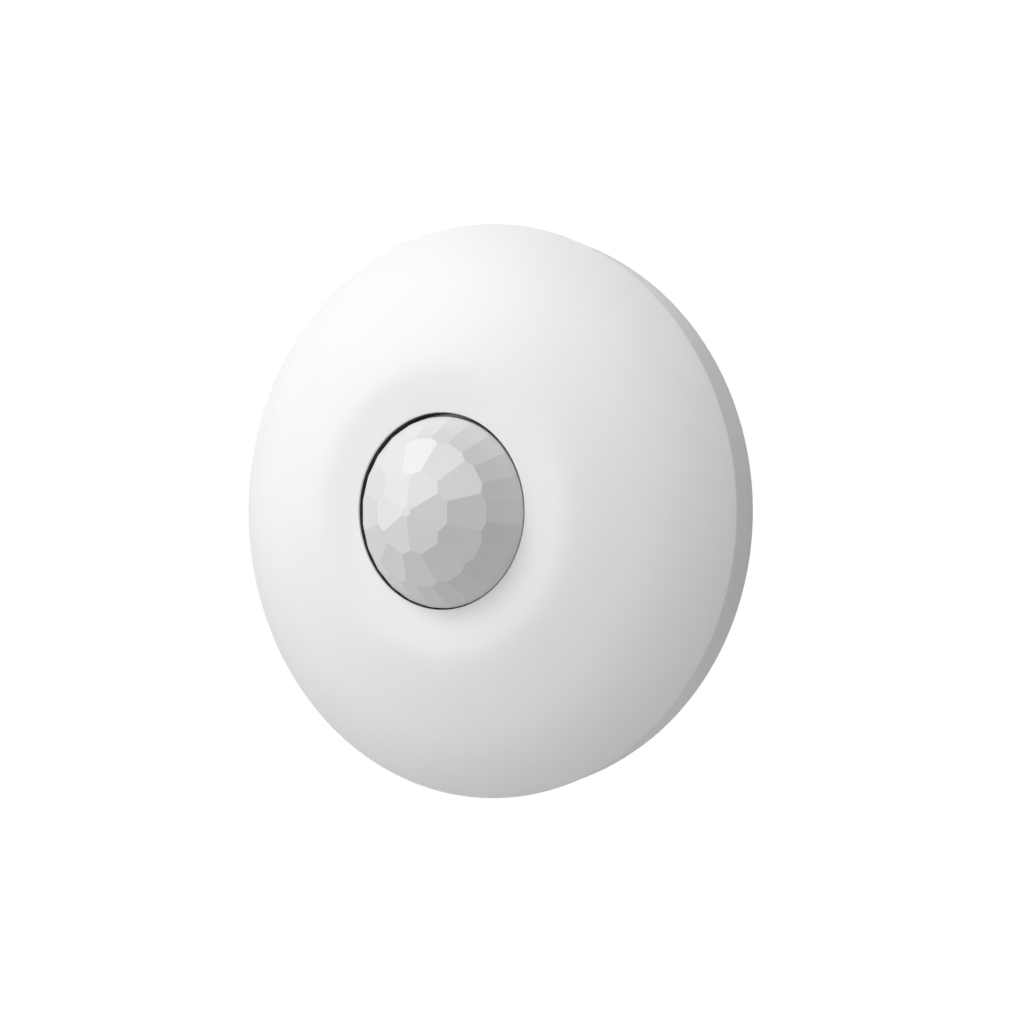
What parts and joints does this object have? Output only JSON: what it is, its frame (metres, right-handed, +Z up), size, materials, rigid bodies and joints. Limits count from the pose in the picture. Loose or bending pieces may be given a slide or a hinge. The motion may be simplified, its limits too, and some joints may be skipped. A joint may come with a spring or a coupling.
{
  "type": "ceiling motion sensor",
  "caption": "Round wireless ceiling motion sensor: domed head with a faceted lens that twists onto a flat screw-mounted base.",
  "frame": {"origin": "centre of the mounting face, where the base meets the ceiling or wall", "axes": "-Y out of the lens along the axis of symmetry, +Y into the mounting surface, +Z up as pictured, +X right"},
  "size_m": [0.11, 0.0314, 0.11],
  "materials": {
    "base_plastic": "satin moulded ABS",
    "cover_plastic": "fine satin moulded ABS",
    "lens_plastic": "translucent white polyethylene with a soft sheen",
    "black_foam": "closed-cell foam",
    "black_plastic": "matt moulded plastic",
    "screw_steel": "zinc-plated",
    "board": "solder mask over glass laminate",
    "can_steel": "nickel-plated",
    "filter_glass": "dark coated silicon window",
    "gold_plate": "gold-plated wire",
    "grey_rubber": "soft collar",
    "chip_plastic": "moulded epoxy",
    "ceramic": "ceramic with tinned ends",
    "aluminium_can": "drawn can",
    "led_resin": "diffuse epoxy",
    "cell_jacket": "printed film over a steel can",
    "spring_steel": "nickel-plated spring wire",
    "control_plastic": "moulded nylon"
  },
  "bodies": {
    "base": {"mounting_base": "base_plastic"},
    "head": {"front_cover": "cover_plastic", "lens": "lens_plastic", "lens_gasket": "black_foam", "lens_retainer": "black_plastic", "chassis": "base_plastic", "cover_screws": "screw_steel", "circuit_board": "board", "board_screws": "screw_steel", "pyro_sensor": "can_steel", "sensor_window": "filter_glass", "sensor_pins": "gold_plate", "sensor_collar": "grey_rubber", "amplifier_chip": "chip_plastic", "controller_chip": "chip_plastic", "crystal": "can_steel", "radio_shield": "can_steel", "antenna": "gold_plate", "filter_capacitor": "aluminium_can", "chip_capacitors": "ceramic", "chip_resistors": "chip_plastic", "status_led": "led_resin", "battery_cells": "cell_jacket", "contact_springs": "spring_steel", "contact_plates": "spring_steel", "tamper_switch": "chip_plastic", "tamper_spring": "spring_steel", "pairing_switch": "chip_plastic", "power_switch": "can_steel"},
    "tamper": {"tamper_plunger": "control_plastic"},
    "pairing": {"pairing_button": "control_plastic"},
    "power": {"power_slider": "control_plastic"}
  },
  "joints": [
    {"name": "head_twist", "type": "hinge", "parent": "base", "child": "head", "pos_m": [0, 0, 0], "axis": [0, -1, 0], "range_deg": [0, 18]},
    {"name": "tamper_slide", "type": "slide", "parent": "head", "child": "tamper", "axis": [0, 1, 0], "range_m": [0, 0.0009], "deforming": ["tamper_spring"]},
    {"name": "pairing_press", "type": "slide", "parent": "head", "child": "pairing", "axis": [0, -1, 0], "range_m": [0, 0.0003], "stiffness_N_per_m": 2000},
    {"name": "power_slide", "type": "slide", "parent": "head", "child": "power", "axis": [1, 0, 0], "range_m": [0, 0.002]}
  ],
  "couplings": [
    {"joint": "tamper_slide", "follows": "head_twist", "m_per_rad": 0.0028645}
  ]
}
